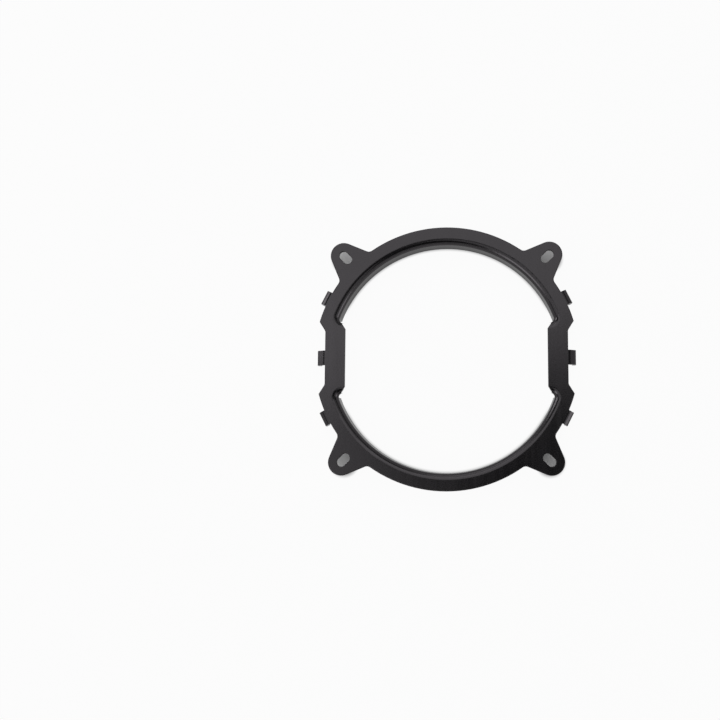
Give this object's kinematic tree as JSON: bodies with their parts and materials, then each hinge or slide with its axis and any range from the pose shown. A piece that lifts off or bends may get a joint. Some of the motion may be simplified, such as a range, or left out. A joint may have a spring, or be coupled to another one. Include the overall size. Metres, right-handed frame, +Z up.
{
  "type": "cpu cooler mounting bracket",
  "caption": "Round stamped steel bracket with a drawn collar, slotted ears and folded side lugs, which clamps a cooler head onto a processor socket.",
  "frame": {"origin": "on the collar's axis, in the plane of the collar's lower rim", "axes": "+Z up along the collar's axis towards the flat face, +X through the middle of a flat ledge and its side lug, +Y through the middle of a round arc"},
  "size_m": [0.0936, 0.0956, 0.0086],
  "materials": {
    "coated_steel": "satin black coating on stamped steel"
  },
  "bodies": {
    "root": {"mounting_ring": "coated_steel"}
  },
  "joints": []
}
